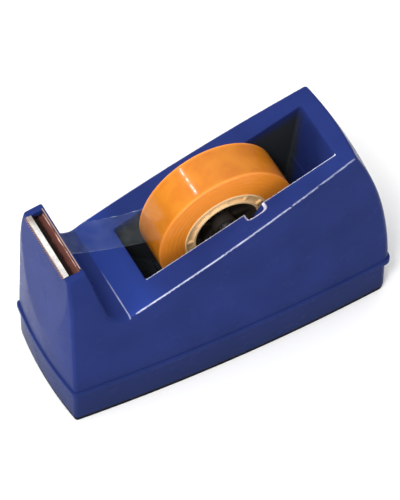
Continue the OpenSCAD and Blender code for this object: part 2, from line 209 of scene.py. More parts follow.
def casing_skin(x, y, z):
    """The casing's outer form, without its openings."""
    half_w = side_half_w(x, z)
    side = np.abs(y) - half_w
    plan = round_meet(side, front_field(x, y, z, half_w), FRONT_CORNER_R)
    tail_edge_r = TAIL_CORNER_R - (TAIL_CORNER_R - TAIL_TOP_CORNER_R) * smooth_step(40, 92, z)
    plan = round_meet(plan, tail_field(x, y, z), tail_edge_r)
    nose_top = nose_local(x, z)[1]
    top = round_meet(nose_top, -scoop_air(x, z), NOSE_REAR_R)
    in_scoop = smooth_step(-65, -60, x) * (1 - smooth_step(-50, -44, x)) * (1 - smooth_step(76, 84, z))
    edge_r = TOP_EDGE_R + (SCOOP_EDGE_R - TOP_EDGE_R) * in_scoop
    return round_meet(plan, top, edge_r)


def well_void(x, y, z):
    """The tape well: upright front wall, leaning rear wall, round floor."""
    rear_x = WELL_REAR_X + (z - deck_z(WELL_REAR_X)) * math.tan(WELL_REAR_LEAN)
    rear = (x - rear_x) * math.cos(WELL_REAR_LEAN)
    ends = np.maximum(WELL_FRONT_X - x, rear)
    trough = np.hypot(x - SPINDLE_X, z - SPINDLE_Z) - TROUGH_R
    floor = soft_join(trough, SPINDLE_Z - z, TROUGH_BLEND)
    lengthwise = round_meet(ends, floor, WELL_CORNER_R)
    return round_meet(lengthwise, np.abs(y) - WELL_HALF_W, WELL_CORNER_R)


def groove_void(x, y, z):
    """The slot that the spindle's ends run in; also the place across it and up along it."""
    dx = x - SPINDLE_X
    dz = z - SPINDLE_Z
    up = dx * math.sin(GROOVE_LEAN) + dz * math.cos(GROOVE_LEAN)
    across = dx * math.cos(GROOVE_LEAN) - dz * math.sin(GROOVE_LEAN)
    slot = np.hypot(across, np.minimum(up, 0)) - GROOVE_R
    return round_meet(slot, np.abs(y) - GROOVE_Y, GROOVE_END_R), across, up


def casing_field(x, y, z):
    """The whole moulding: skin, well, grooves, seat of the cutter, and the room inside it."""
    skin = casing_skin(x, y, z)
    well = well_void(x, y, z)
    groove, across, up = groove_void(x, y, z)
    along, out = nose_local(x, z)
    cavity = np.maximum(skin + WALL, WALL - well)
    cavity = np.maximum(cavity, out + NOSE_BLOCK_T)
    guide_y = np.abs(y) - (GROOVE_Y + WALL)
    guide = np.maximum(np.maximum(np.abs(across) - GUIDE_HALF_W, -GUIDE_HALF_W - up), guide_y)
    cavity = np.maximum(cavity, -guide)
    body = np.maximum(skin, LIP_Z - z)
    for boss_x, boss_y in BOSSES:
        boss = np.hypot(x - boss_x, np.abs(y) - boss_y) - BOSS_R
        cavity = np.maximum(cavity, -boss)
        stub = np.maximum(boss, np.maximum(BOSS_Z - z, z - (LIP_Z + 1)))
        body = np.minimum(body, stub)
        cavity = np.maximum(cavity, -stub)
    body = round_meet(body, -well, WELL_RIM_R)
    body = round_meet(body, -groove, GROOVE_RIM_R)
    pocket_wall = np.maximum(along - POCKET_END, np.abs(y) - CUTTER_HALF_L)
    ledge = np.maximum(pocket_wall, -LEDGE_T - out)
    pocket = np.maximum(pocket_wall, np.maximum(BLADE_FOOT - along, -POCKET_T - out))
    body = round_meet(body, -np.minimum(ledge, pocket), POCKET_RIM_R)
    return np.maximum(body, -cavity)


# ---- Meshes ----

def graded(*spans):
    """Grid lines over spans of (start, end, step)."""
    lines = [np.arange(start, end - step / 3, step) for start, end, step in spans]
    return np.concatenate(lines + [[spans[-1][1]]])


def gradient(field, p, h=0.02):
    """Slope of a field at points, which is its normal on the surface."""
    g = np.empty_like(p)
    for axis in range(3):
        step = np.zeros(3)
        step[axis] = h
        high = field(*(p + step).T)
        low = field(*(p - step).T)
        g[:, axis] = (high - low) / (2 * h)
    return g


def drawn_onto(field, points, passes=4, longest=0.3):
    """Points moved onto a field's surface, by no more than the longest step in each pass."""
    for _ in range(passes):
        g = gradient(field, points)
        size = np.maximum((g ** 2).sum(1), 0.2)
        step = (field(*points.T) / size)[:, None] * g
        length = np.linalg.norm(step, axis=1, keepdims=True)
        points = points - step * np.minimum(1, longest / np.maximum(length, 1e-9))
    return points


CELL_CORNERS = [(i, j, k) for i in (0, 1) for j in (0, 1) for k in (0, 1)]


def net_points(value, grid, cells):
    """For each cell, the mean of the points where the field crosses zero on its edges."""
    total = np.zeros([len(cells), 3])
    hits = np.zeros(len(cells))
    for axis in range(3):
        for corner in CELL_CORNERS:
            if corner[axis]:
                continue
            a = cells + corner
            b = a.copy()
            b[:, axis] += 1
            va = value[tuple(a.T)]
            vb = value[tuple(b.T)]
            cut = (va < 0) != (vb < 0)
            t = np.where(cut, va / np.where(cut, va - vb, 1), 0)
            pa = np.stack([grid[d][a[:, d]] for d in range(3)], 1)
            pb = np.stack([grid[d][b[:, d]] for d in range(3)], 1)
            total += np.where(cut[:, None], pa + (pb - pa) * t[:, None], 0)
            hits += cut
    return total / hits[:, None]


def net_faces(inside, index, grid):
    """A quad round each grid edge that crosses the surface, from the points of its four cells."""
    quads = []
    for axis in range(3):
        u = (axis + 1) % 3
        v = (axis + 2) % 3
        low = [slice(None)] * 3
        high = [slice(None)] * 3
        low[axis] = slice(0, -1)
        high[axis] = slice(1, None)
        starts_inside = inside[tuple(low)]
        edges = np.argwhere(starts_inside != inside[tuple(high)])
        good = (edges[:, u] > 0) & (edges[:, v] > 0)
        good &= (edges[:, u] < len(grid[u]) - 1) & (edges[:, v] < len(grid[v]) - 1)
        edges = edges[good]
        ring = []
        for du, dv in ((-1, -1), (0, -1), (0, 0), (-1, 0)):
            cell = edges.copy()
            cell[:, u] += du
            cell[:, v] += dv
            ring.append(index[tuple(cell.T)])
        quad = np.stack(ring, 1)
        flip = ~starts_inside[tuple(edges.T)]
        quad[flip] = quad[flip][:, ::-1]
        quads.append(quad)
    return np.concatenate(quads)


def field_mesh(field, xs, ys, zs):
    """Surface net of a field on a graded grid, with its points drawn onto the surface."""
    value = field(xs[:, None, None], ys[None, :, None], zs[None, None, :])
    inside = value < 0
    n = [size - 1 for size in inside.shape]
    count = np.zeros(n, int)
    for i, j, k in CELL_CORNERS:
        count += inside[i:i + n[0], j:j + n[1], k:k + n[2]]
    cells = np.argwhere((count > 0) & (count < len(CELL_CORNERS)))
    index = -np.ones(n, int)
    index[tuple(cells.T)] = np.arange(len(cells))
    grid = [xs, ys, zs]
    points = drawn_onto(field, net_points(value, grid, cells))
    return points, net_faces(inside, index, grid)


def new_object(name, points, faces, material, smooth_angle=None):
    """Object from points in millimetres; smooth_angle in degrees keeps sharper edges sharp."""
    mesh = bpy.data.meshes.new(name)
    mesh.from_pydata((np.asarray(points) * MM).tolist(), [], [list(f) for f in faces])
    mesh.validate()
    mesh.polygons.foreach_set("use_smooth", [True] * len(mesh.polygons))
    if smooth_angle is not None:
        mesh.set_sharp_from_angle(angle=math.radians(smooth_angle))
    mesh.materials.append(material)
    obj = bpy.data.objects.new(name, mesh)
    bpy.context.scene.collection.objects.link(obj)
    return obj


def outline(out, front, tail, front_r, tail_r, count=260):
    """Plan outline, anticlockwise, with more points where it turns; also its outward normals."""
    def field(x, y):
        side = np.abs(y) - (TRAY_HALF_W + out - (x - SIDE_BOW_X) ** 2 / (2 * SIDE_BOW_R))
        ahead = np.hypot(x - (front + FRONT_BOW_R), y) - FRONT_BOW_R
        behind = np.hypot(x - (tail - TAIL_BOW_R), y) - TAIL_BOW_R
        return round_meet(round_meet(side, ahead, front_r), behind, tail_r)

    rays = 6000
    angle = np.linspace(0, 2 * np.pi, rays + 1)[:-1]
    ray = np.stack([np.cos(angle), np.sin(angle)], 1)
    low = np.zeros(rays)
    high = np.full(rays, 100.0)
    for _ in range(40):
        mid = (low + high) / 2
        within = field(*(ray * mid[:, None]).T) < 0
        low = np.where(within, mid, low)
        high = np.where(within, high, mid)
    p = ray * low[:, None]
    along = np.roll(p, -1, 0) - p
    length = np.hypot(*along.T)
    heading = np.unwrap(np.arctan2(along[:, 1], along[:, 0]))
    turning = np.abs(np.append(np.diff(heading), 0))
    turn_weight = 14.0
    walked = np.concatenate([[0], np.cumsum(length + turn_weight * turning)])
    at = np.linspace(0, walked[-1], count + 1)[:-1]
    closed = np.vstack([p, p[:1]])
    points = np.stack([np.interp(at, walked, closed[:, axis]) for axis in (0, 1)], 1)
    tangent = np.roll(points, -1, 0) - np.roll(points, 1, 0)
    normal = np.stack([tangent[:, 1], -tangent[:, 0]], 1)
    return points, normal / np.hypot(*normal.T)[:, None]


def loft(plan, levels, closed_section=False):
    """Rings of a plan outline at (height, outward offset) levels, joined into a skin."""
    points, normals = plan
    count = len(points)
    rings = [np.column_stack([points + normals * out, np.full(count, z)]) for z, out in levels]
    faces = []
    last = len(levels) if closed_section else len(levels) - 1
    for level in range(last):
        a = level * count
        b = (level + 1) % len(levels) * count
        for i in range(count):
            j = (i + 1) % count
            faces.append((a + i, a + j, b + j, b + i))
    if not closed_section:
        faces.append(tuple(reversed(range(count))))
        faces.append(tuple(range(a + count, a + 2 * count)))
    return np.vstack(rings), faces


def revolve(section, count, wobble=None):
    """Closed section of (radius, y) points turned about the spindle; wobble moves each point."""
    section = np.asarray(section, float)
    rings = []
    for i in range(count):
        angle = 2 * math.pi * i / count
        ring = section if wobble is None else wobble(section, angle)
        x = SPINDLE_X + ring[:, 0] * math.cos(angle)
        z = SPINDLE_Z + ring[:, 0] * math.sin(angle)
        rings.append(np.column_stack([x, ring[:, 1], z]))
    n = len(section)
    faces = []
    for i in range(count):
        a = i * n
        b = (i + 1) % count * n
        for k in range(n):
            m = (k + 1) % n
            faces.append((a + k, a + m, b + m, b + k))
    return np.vstack(rings), faces


def upright_post(mid_x, mid_y, r, low_z, high_z, count=32):
    """Round post between two heights."""
    points = []
    for z in (low_z, high_z):
        for i in range(count):
            a = 2 * math.pi * i / count
            points.append((mid_x + r * math.cos(a), mid_y + r * math.sin(a), z))
    faces = [(i, (i + 1) % count, count + (i + 1) % count, count + i) for i in range(count)]
    faces += [tuple(reversed(range(count))), tuple(range(count, 2 * count))]
    return points, faces


def joined(*parts):
    """Several (points, faces) parts as one."""
    points = []
    faces = []
    first = 0
    for p, f in parts:
        points.append(np.asarray(p))
        faces += [tuple(first + i for i in face) for face in f]
        first += len(p)
    return np.vstack(points), faces


def apply_modifiers(obj):
    shown = obj.evaluated_get(bpy.context.evaluated_depsgraph_get())
    mesh = bpy.data.meshes.new_from_object(shown)
    obj.modifiers.clear()
    obj.data = mesh


def softened(node, name, width, material):
    """A copy of a flat-sided CAD node with its edges broken by width millimetres."""
    mesh = nodes[node].data.copy()
    mesh.name = name
    mesh.materials.clear()
    mesh.materials.append(material)
    obj = bpy.data.objects.new(name, mesh)
    bpy.context.scene.collection.objects.link(obj)
    weld = obj.modifiers.new("weld", "WELD")
    weld.merge_threshold = 0.002 * MM
    flat = obj.modifiers.new("flat", "DECIMATE")
    flat.decimate_type = "DISSOLVE"
    flat.angle_limit = math.radians(2)
    bevel = obj.modifiers.new("bevel", "BEVEL")
    bevel.width = width * MM
    bevel.segments = 2
    bevel.limit_method = "ANGLE"
    bevel.angle_limit = math.radians(30)
    apply_modifiers(obj)
    obj.data.polygons.foreach_set("use_smooth", [True] * len(obj.data.polygons))
    obj.data.set_sharp_from_angle(angle=math.radians(35))
    return obj


# ---- Materials ----

BLUE = (0.017, 0.030, 0.142)
PAINTED_FOOT_SHADE = (0.012, 0.018, 0.040)
PAINTED_DECK_LIGHT = (0.04, 0.14, 0.9)
PAINTED_EDGE_HIGHLIGHT = (0.72, 0.74, 0.90)
PAINTED_WELL_SHADE = (0.030, 0.034, 0.040)
GLUE_BROWN = (0.20, 0.10, 0.075)
AMBER_DEEP = (0.54, 0.15, 0.008)
AMBER = (0.62, 0.20, 0.012)
AMBER_FACE = (0.93, 0.29, 0.03)
AMBER_RIM_HIGHLIGHT = (0.85, 0.55, 0.38)
FILM_DEEP = (0.42, 0.52, 0.56)
FILM_PALE = (0.55, 0.64, 0.68)


def add(tree, kind, **inputs):
    node = tree.nodes.new(kind)
    for name, value in inputs.items():
        node.inputs[name.replace("_", " ")].default_value = value
    return node


def noise(tree, spot, scale, detail=3.0):
    node = add(tree, "ShaderNodeTexNoise", Scale=scale, Detail=detail)
    tree.links.new(spot, node.inputs["Vector"])
    return node.outputs["Fac"]


def stretched(tree, spot, scale):
    """Coordinates scaled by a different factor on each axis, for streaks."""
    node = add(tree, "ShaderNodeMapping", Scale=scale)
    tree.links.new(spot, node.inputs["Vector"])
    return node.outputs["Vector"]


def ranged(tree, value, low, high, start=0.3, end=0.7):
    """From low to high as the value goes from start to end, and constant beyond them."""
    node = add(tree, "ShaderNodeMapRange", From_Min=start, From_Max=end, To_Min=low, To_Max=high)
    tree.links.new(value, node.inputs["Value"])
    return node.outputs["Result"]


def ramp(tree, value, *stops):
    """Colour from (position, colour) stops."""
    node = tree.nodes.new("ShaderNodeValToRGB")
    elements = node.color_ramp.elements
    while len(elements) < len(stops):
        elements.new(0.5)
    for element, (position, color) in zip(elements, stops):
        element.position = position
        element.color = (*color, 1)
    tree.links.new(value, node.inputs["Fac"])
    return node.outputs["Color"]


def calc(tree, operation, *values):
    """One step of arithmetic on numbers and other nodes' outputs."""
    node = tree.nodes.new("ShaderNodeMath")
    node.operation = operation
    for socket, value in zip(node.inputs, values):
        if isinstance(value, (int, float)):
            socket.default_value = value
        else:
            tree.links.new(value, socket)
    return node.outputs["Value"]


def product(tree, first, *others):
    for value in others:
        first = calc(tree, "MULTIPLY", first, value)
    return first


def largest(tree, first, *others):
    for value in others:
        first = calc(tree, "MAXIMUM", first, value)
    return first


def away_from(tree, value, level):
    """How far a value is from a level, on either side of it."""
    return calc(tree, "ABSOLUTE", calc(tree, "SUBTRACT", value, level))


def in_mm(tree, spot):
    """X, Y and Z of a spot, in millimetres."""
    scaled = tree.nodes.new("ShaderNodeVectorMath")
    scaled.operation = "SCALE"
    scaled.inputs["Scale"].default_value = 1 / MM
    tree.links.new(spot, scaled.inputs[0])
    split = tree.nodes.new("ShaderNodeSeparateXYZ")
    tree.links.new(scaled.outputs["Vector"], split.inputs["Vector"])
    return split.outputs


def blended(tree, amount, a, b):
    """Colour a where amount is 0, and b where it is 1; either may be a node's output."""
    node = tree.nodes.new("ShaderNodeMix")
    node.data_type = "RGBA"
    tree.links.new(amount, node.inputs["Factor"])
    sockets = [socket for socket in node.inputs if socket.type == "RGBA"]
    for socket, value in zip(sockets, (a, b)):
        if isinstance(value, tuple):
            socket.default_value = (*value, 1)
        else:
            tree.links.new(value, socket)
    return [socket for socket in node.outputs if socket.type == "RGBA"][0]


def bump(tree, height, distance):
    node = add(tree, "ShaderNodeBump", Strength=1.0, Distance=distance * MM)
    tree.links.new(height, node.inputs["Height"])
    return node.outputs["Normal"]


def surface(name, **inputs):
    """New material: its tree, its shader, and the object's own coordinates in metres."""
    material = bpy.data.materials.new(name)
    material.use_nodes = True
    tree = material.node_tree
    shader = tree.nodes["Principled BSDF"]
    for socket, value in inputs.items():
        shader.inputs[socket.replace("_", " ")].default_value = value
    spot = tree.nodes.new("ShaderNodeTexCoord").outputs["Object"]
    return material, tree, shader, spot


def opened(material):
    """Tree, shader, coordinates and colour of a material that is to be changed further."""
    tree = material.node_tree
    shader = tree.nodes["Principled BSDF"]
    spot = tree.nodes["Texture Coordinate"].outputs["Object"]
    color = shader.inputs["Base Color"].links[0].from_socket
    return tree, shader, spot, color


def grained(name, color, roughness, grain_size, grain_depth, spread=0.12, **inputs):
    """Moulded, cast or foamed surface: mottled colour, uneven gloss, and a fine grain."""
    material, tree, shader, spot = surface(name, **inputs)
    dark = tuple(c * (1 - spread) for c in color)
    light = tuple(min(1, c * (1 + spread)) for c in color)
    mottle = noise(tree, spot, 45)
    tree.links.new(ramp(tree, mottle, (0.3, dark), (0.7, light)), shader.inputs["Base Color"])
    gloss = ranged(tree, noise(tree, spot, 120), roughness - 0.05, roughness + 0.06)
    tree.links.new(gloss, shader.inputs["Roughness"])
    grain = noise(tree, spot, 1000 / grain_size, 2)
    tree.links.new(bump(tree, grain, grain_depth), shader.inputs["Normal"])
    return material


def brushed(name, color, roughness, stretch, depth):
    """Metal with fine scratches along one direction."""
    material, tree, shader, spot = surface(name, Metallic=1.0)
    scratches = noise(tree, stretched(tree, spot, stretch), 900, 4)
    stains = noise(tree, spot, 260, 4)
    dark = tuple(c * 0.72 for c in color)
    tree.links.new(ramp(tree, stains, (0.35, dark), (0.6, color)), shader.inputs["Base Color"])
    gloss = ranged(tree, scratches, roughness - 0.06, roughness + 0.12)
    tree.links.new(gloss, shader.inputs["Roughness"])
    tree.links.new(bump(tree, scratches, depth), shader.inputs["Normal"])
    return material


def below_deck(tree, x, z):
    """How far a spot is below the deck's plane."""
    deck = calc(tree, "MULTIPLY_ADD", x, math.tan(DECK_SLOPE), DECK_Z0)
    return calc(tree, "MULTIPLY", calc(tree, "SUBTRACT", deck, z), math.cos(DECK_SLOPE))


def inside_of_side(tree, x, z, width):
    """How far a spot is inside the casing's bowed and drafted side."""
    bow = calc(tree, "POWER", calc(tree, "SUBTRACT", x, SIDE_BOW_X), 2.0)
    half_w = calc(tree, "MULTIPLY_ADD", bow, -0.5 / SIDE_BOW_R,
                  TRAY_HALF_W + CASING_OUT + LIP_Z * SIDE_DRAFT)
    half_w = calc(tree, "MULTIPLY_ADD", z, -SIDE_DRAFT, half_w)
    return calc(tree, "SUBTRACT", half_w, width)


def outside_of_groove(tree, x, z, width):
    """How far a spot is outside the slot of a groove, whose end has round corners."""
    dx = calc(tree, "SUBTRACT", x, SPINDLE_X)
    dz = calc(tree, "SUBTRACT", z, SPINDLE_Z)
    across = calc(tree, "SUBTRACT", calc(tree, "MULTIPLY", dx, math.cos(GROOVE_LEAN)),
                  calc(tree, "MULTIPLY", dz, math.sin(GROOVE_LEAN)))
    beside = calc(tree, "SUBTRACT", calc(tree, "ABSOLUTE", across), GROOVE_R)
    beyond = calc(tree, "SUBTRACT", width, GROOVE_Y)
    return calc(tree, "SMOOTH_MAX", beside, beyond, 1.75 * GROOVE_END_R)


def blue_with_painted_light():
    """Blue moulding: painted highlights on the deck's rims and crease, painted light on the deck before
    the well, painted shade in the well and towards the foot.
    """
    material = grained("blue_plastic", BLUE, roughness=0.24, grain_size=0.5, grain_depth=0.0006,
                       Specular_IOR_Level=0.02)
    tree, shader, spot, color = opened(material)
    x, y, z = in_mm(tree, spot)
    width = calc(tree, "ABSOLUTE", y)
    depth = below_deck(tree, x, z)
    at_deck = calc(tree, "ABSOLUTE", depth)
    behind_scoop = calc(tree, "GREATER_THAN", x, CREASE_X - 0.2)

    # Painted highlight on the outer rim of the deck, fainter towards the tail
    from_edge = calc(tree, "ADD", at_deck, inside_of_side(tree, x, z, width))
    outer_rim = product(tree, ranged(tree, from_edge, 1, 0, 0.47, 0.69), behind_scoop,
                        ranged(tree, x, 1, 0.35, -45, 70))

    # Painted highlight on the near rim of the well, and round the slot of the groove in it
    from_well = calc(tree, "MINIMUM", calc(tree, "SUBTRACT", width, WELL_HALF_W),
                     outside_of_groove(tree, x, z, width))
    from_rim = calc(tree, "MULTIPLY_ADD", at_deck, 1.5, calc(tree, "ABSOLUTE", from_well))
    near_side = calc(tree, "LESS_THAN", y, 0.0)
    inner_rim = product(tree, ranged(tree, from_rim, 1, 0, 0.4, 0.7), near_side,
                        calc(tree, "GREATER_THAN", x, WELL_FRONT_X),
                        calc(tree, "LESS_THAN", x, WELL_REAR_X))

    # Painted highlight along the crease between the scoop and the deck, only on the near half
    crease = product(tree, ranged(tree, away_from(tree, x, CREASE_X), 0.5, 0, 0.1, 0.4),
                     ranged(tree, y, 1, 0, -16, 2), calc(tree, "LESS_THAN", at_deck, 1.0))

    # Painted shade, darker towards the foot, and a painted pool of light on the deck before the well
    color = blended(tree, ranged(tree, z, 0.45, 0, 6, 30), color, PAINTED_FOOT_SHADE)
    # Painted light: brighter on the deck just before the well
    deck_light_weight = product(tree, ranged(tree, x, 0.1, 0, -40, -31),
                          calc(tree, "LESS_THAN", at_deck, 0.5), behind_scoop)
    color = blended(tree, deck_light_weight, color, PAINTED_DECK_LIGHT)

    # Painted highlights on the rims and the crease, broken up by noise
    highlight_breakup = ranged(tree, noise(tree, spot, 300), 0.55, 1.0)
    painted_highlight = product(tree, largest(tree, outer_rim, inner_rim, crease), highlight_breakup)
    color = blended(tree, painted_highlight, color, PAINTED_EDGE_HIGHLIGHT)

    # Painted shade inside the well, apart from the rear wall away from its far corner
    short_of_rear = calc(tree, "SUBTRACT", x, ranged(tree, y, 0, 10, 6, 14.2))
    well_shade_weight = product(tree, calc(tree, "LESS_THAN", width, WELL_HALF_W + 0.1),
                   ranged(tree, depth, 0, 1, 1.0, 6.0), ranged(tree, short_of_rear, 1, 0, 38, 45),
                   calc(tree, "GREATER_THAN", x, WELL_FRONT_X - 0.1))
    color = blended(tree, well_shade_weight, color, PAINTED_WELL_SHADE)
    tree.links.new(color, shader.inputs["Base Color"])
    return material


def back_from_nose(tree, spot):
    """How far back a spot is along the nose's top, in millimetres."""
    x, _, z = in_mm(tree, spot)
    level = calc(tree, "MULTIPLY", calc(tree, "SUBTRACT", x, NOSE_X), math.cos(NOSE_SLOPE))
    return calc(tree, "MULTIPLY_ADD", calc(tree, "SUBTRACT", z, NOSE_Z), math.sin(NOSE_SLOPE), level)


def ground_blade():
    """Bright strip whose teeth and far end are dark and brownish from glue."""
    material = brushed("polished_steel", (0.98, 0.95, 0.91), roughness=0.2, stretch=(4, 0.25, 4),
                       depth=0.002)
    tree, shader, spot, color = opened(material)
    teeth = ranged(tree, back_from_nose(tree, spot), 1, 0, -0.3, 0.2)
    far_end = ranged(tree, in_mm(tree, spot)["Y"], 0, 0.6, 11, 15)
    color = blended(tree, largest(tree, teeth, far_end), color, GLUE_BROWN)
    tree.links.new(color, shader.inputs["Base Color"])
    return material


def heat_tinted():
    """Brown sheet: painted shade in the fold behind the blade, pinkish on its rear edge."""
    material = brushed("tinted_steel", (0.16, 0.075, 0.05), roughness=0.28, stretch=(4, 0.25, 4),
                       depth=0.004)
    tree, shader, spot, _ = opened(material)
    streaks = noise(tree, stretched(tree, spot, (1.5, 0.5, 1.5)), 500, 4)
    back = calc(tree, "ADD", back_from_nose(tree, spot), ranged(tree, streaks, -0.35, 0.35))
    share = ranged(tree, back, 0, 1, BLADE_FOOT + SHEET_T, POCKET_END)
    # Painted shade near the blade's foot, then the sheet's own brown, then pinkish at its rear edge
    color = ramp(tree, share, (0.1, (0.012, 0.008, 0.008)), (0.38, (0.02, 0.012, 0.010)),
                 (0.52, (0.11, 0.036, 0.030)), (0.84, (0.14, 0.055, 0.042)),
                 (0.91, (0.55, 0.37, 0.33)))
    tree.links.new(color, shader.inputs["Base Color"])
    return material


def wound_tape():
    """Amber wound film: fine turns on the faces, which are brighter, cloudy depth, and a faint painted
    highlight round the outer rim of the faces.
    """
    material, tree, shader, spot = surface("amber_tape", Coat_Weight=0.12, Coat_Roughness=0.06,
                                           Specular_IOR_Level=0.3)
    x, y, z = in_mm(tree, spot)
    dx = calc(tree, "SUBTRACT", x, SPINDLE_X)
    dz = calc(tree, "SUBTRACT", z, SPINDLE_Z)
    from_axis = calc(tree, "SQRT", calc(tree, "MULTIPLY_ADD", dx, dx, calc(tree, "MULTIPLY", dz, dz)))
    turns = add(tree, "ShaderNodeTexNoise", Scale=4, Detail=3)
    turns.noise_dimensions = "1D"
    tree.links.new(from_axis, turns.inputs["W"])
    clouds = noise(tree, spot, 110)
    depth = calc(tree, "MULTIPLY_ADD", turns.outputs["Fac"], 0.35, clouds)
    color = ramp(tree, depth, (0.45, AMBER_DEEP), (0.75, AMBER))
    width = calc(tree, "ABSOLUTE", y)
    color = blended(tree, ranged(tree, width, 0, 1, 7.6, 9.0), color, AMBER_FACE)
    # Faint painted highlight round the outer rim of the faces
    rim = product(tree, ranged(tree, width, 0, 0.08, 8.5, 8.9),
                  ranged(tree, from_axis, 0, 1, ROLL_R - 0.6, ROLL_R - 0.25))
    color = blended(tree, rim, color, AMBER_RIM_HIGHLIGHT)
    tree.links.new(color, shader.inputs["Base Color"])
    tree.links.new(ranged(tree, clouds, 0.12, 0.24), shader.inputs["Roughness"])
    tree.links.new(bump(tree, turns.outputs["Fac"], 0.02), shader.inputs["Normal"])
    return material


def clear_film():
    """Clear film: mostly open, with a pale haze, a painted highlight along its edges that is broken up
    and strongest on the far edge, and a glossy face.
    """
    material, tree, shader, spot = surface("clear_film", Coat_Weight=0.5, Coat_Roughness=0.05)
    haze = noise(tree, spot, 160, 4)
    color = ramp(tree, haze, (0.3, FILM_DEEP), (0.7, FILM_PALE))
    tree.links.new(color, shader.inputs["Base Color"])
    y = in_mm(tree, spot)["Y"]
    # Painted highlight along the film's edges, stronger on the far edge
    far_edge_highlight = ranged(tree, y, 0, 0.4, 8.2, 8.5)
    near_edge_highlight = ranged(tree, y, 0.14, 0, -8.9, -8.5)
    broken = ranged(tree, noise(tree, spot, 420), 0.2, 1, 0.45, 0.6)
    edges = product(tree, largest(tree, far_edge_highlight, near_edge_highlight), broken)
    alpha = calc(tree, "ADD", ranged(tree, haze, 0.012, 0.032), edges)
    tree.links.new(alpha, shader.inputs["Alpha"])
    tree.links.new(ranged(tree, haze, 0.08, 0.2), shader.inputs["Roughness"])
    tree.links.new(bump(tree, haze, 0.05), shader.inputs["Normal"])
    return material


blue = blue_with_painted_light()
black_foam = grained("black_foam", (0.006, 0.006, 0.007), roughness=0.9, grain_size=0.5,
                     grain_depth=0.08, Specular_IOR_Level=0.1)
black_plastic = grained("black_plastic", (0.036, 0.028, 0.022), roughness=0.42, grain_size=0.6,
                        grain_depth=0.004)
iron = grained("ballast_iron", (0.06, 0.06, 0.062), roughness=0.7, grain_size=1.4,
               grain_depth=0.12, Metallic=0.6)
cream = grained("cream_plastic", (0.86, 0.58, 0.30), roughness=0.42, grain_size=0.4,
                grain_depth=0.006, spread=0.08)
zinc = brushed("zinc_screws", (0.55, 0.55, 0.56), roughness=0.34, stretch=(1, 1, 4), depth=0.003)
spindle_steel = brushed("spindle_steel", (0.55, 0.55, 0.57), roughness=0.25, stretch=(4, 0.4, 4),
                        depth=0.002)
polished = ground_blade()
tinted = heat_tinted()
amber = wound_tape()
film = clear_film()


# ---- Casing and base ----

def make_casing():
    """Moulding from its field, on a grid that is finer at the edges, with the bead as a loft."""
    xs = graded((-77.6, -62, 0.5), (-62, -44, 0.8), (-44, -30, 1), (-30, 1.5, 2.2), (1.5, 21, 0.75),
                (21, 41, 2.2), (41, 62, 1.1), (62, 78, 1.1))
    half = graded((0, 12, 2.4), (12, 13.8, 0.6), (13.8, 15.3, 0.3), (15.3, 17.4, 0.7),
                  (17.4, 19.2, 0.36), (19.2, 20.6, 0.7), (20.6, 26.2, 0.5), (26.2, 29.5, 0.66))
    ys = np.concatenate([-half[::-1], half[1:]])
    zs = graded((8, 15, 1.5), (15, 20, 0.8), (20, 50, 2), (50, 96.4, 0.8))
    points, faces = field_mesh(casing_field, xs, ys, zs)
    normals = gradient(casing_field, points)
    normals /= np.maximum(np.linalg.norm(normals, axis=1, keepdims=True), 1e-9)
    plan = outline(CASING_OUT + LIP_OUT, FRONT_X - LIP_OUT, TAIL_X + LIP_OUT, TRAY_CORNER_R,
                   TAIL_CORNER_R)
    top = LIP_Z + LIP_H
    root = -1.7
    section = [(LIP_Z, root), (LIP_Z, -0.28), (LIP_Z + 0.1, -0.08), (LIP_Z + 0.28, 0),
               (LIP_Z + 0.5, 0), (top - 0.75, 0), (top - 0.5, 0), (top - 0.2, -0.08),
               (top, -0.3), (top + 0.15, -0.7), (top + 0.2, root)]
    bead = loft(plan, section[::-1], closed_section=True)
    obj = new_object("casing_shell", *joined((points, faces), bead), blue)
    own = np.array([v.normal for v in obj.data.vertices])
    own[:len(normals)] = normals
    obj.data.normals_split_custom_set_from_vertices(own.tolist())
    return obj


def make_tray():
    """Tray with a rounded foot, a tongue that goes inside the casing, and the screw pillars."""
    plan = outline(0, FRONT_X + CASING_OUT, TAIL_X - TRAY_TAIL_BACK, TRAY_CORNER_R, TAIL_CORNER_R)
    floor_z = PAD_T + WALL
    tongue_z = LIP_Z + TONGUE_H
    tongue_out = CASING_OUT - WALL - TONGUE_GAP
    tongue_in = tongue_out - TONGUE_T
    levels = [(PAD_T, -1.0), (PAD_T + 0.12, -0.5), (PAD_T + 0.35, -0.2), (PAD_T + 0.8, 0),
              (PAD_T + 1.2, 0), (LIP_Z - 0.7, 0), (LIP_Z - 0.4, 0), (LIP_Z - 0.1, -0.1),
              (LIP_Z, -0.4), (LIP_Z, tongue_out), (tongue_z, tongue_out), (tongue_z, tongue_in),
              (LIP_Z - 3, tongue_in), (LIP_Z - 3.5, -WALL), (floor_z, -WALL)]
    parts = [loft(plan, levels)]
    for boss_x, boss_y in BOSSES:
        for side in (-1, 1):
            parts.append(upright_post(boss_x, side * boss_y, TRAY_BOSS_R, floor_z - 0.1, BOSS_Z))
    return new_object("base_shell", *joined(*parts), blue, smooth_angle=40)


def make_foot():
    """Thin foam sheet with soft edges, set in a little from the tray's wall."""
    plan = outline(-PAD_INSET, FRONT_X + CASING_OUT + PAD_INSET,
                   TAIL_X - TRAY_TAIL_BACK - PAD_INSET, PAD_CORNER_R, TAIL_CORNER_R)
    levels = [(0, -0.35), (0.15, -0.1), (0.4, 0), (PAD_T - 0.2, 0), (PAD_T, -0.15)]
    return new_object("foot_sheet", *loft(plan, levels), black_foam, smooth_angle=50)


# ---- Roll of tape ----

